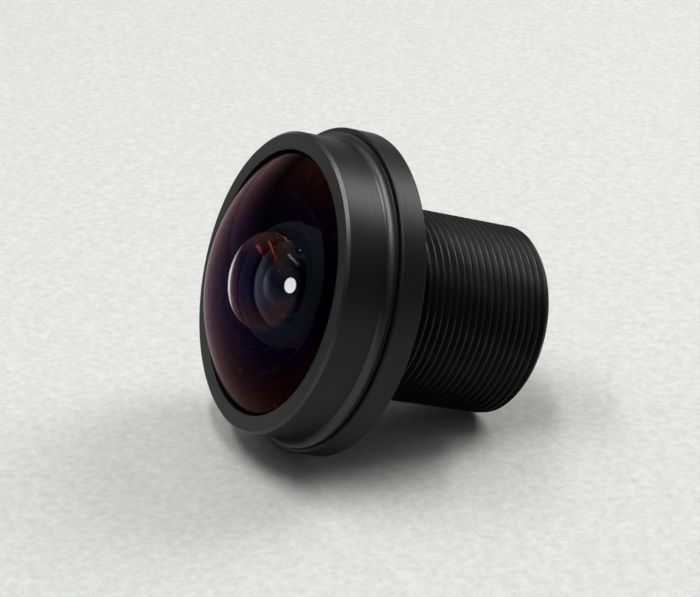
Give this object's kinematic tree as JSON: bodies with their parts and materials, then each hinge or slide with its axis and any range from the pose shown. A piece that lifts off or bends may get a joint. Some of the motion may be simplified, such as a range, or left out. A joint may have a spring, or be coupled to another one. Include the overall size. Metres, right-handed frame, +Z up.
{
  "type": "fisheye lens",
  "caption": "Screw-in fisheye lens for a board camera: domed front glass in a black metal ring, a flange, and a threaded barrel that holds the stacked glass elements and a rear filter.",
  "frame": {"origin": "on the optical axis, at the flange's rear face, where the thread begins", "axes": "+Y along the optical axis from the dome to the threaded rear end, +Z up, +X to the right seen from the front"},
  "size_m": [0.02, 0.0194, 0.02],
  "materials": {
    "anodised_body": "black anodised, fine turned",
    "anodised_ring": "black anodised, fine turned",
    "front_glass": "polished and coated",
    "inner_glass": "polished and coated",
    "filter_glass": "polished, infrared cut coating",
    "blacked_metal": "matt black anodised",
    "baffle_film": "matt black film",
    "seal_rubber": "moulded",
    "adhesive": "cured black adhesive"
  },
  "bodies": {
    "root": {"barrel": "anodised_body", "front_ring": "anodised_ring", "front_element": "front_glass", "front_o_ring": "seal_rubber", "front_spacer": "blacked_metal", "second_element": "inner_glass", "second_baffle": "baffle_film", "second_spacer": "blacked_metal", "third_element": "inner_glass", "stop_spacer": "blacked_metal", "aperture_stop": "baffle_film", "fourth_spacer": "blacked_metal", "fourth_element": "inner_glass", "pair_baffle": "baffle_film", "pair_spacer": "blacked_metal", "pair_front_element": "inner_glass", "pair_rear_element": "inner_glass", "seventh_spacer": "blacked_metal", "seventh_element": "inner_glass", "rear_baffle": "baffle_film", "infrared_filter": "filter_glass", "filter_bead": "adhesive"}
  },
  "joints": []
}
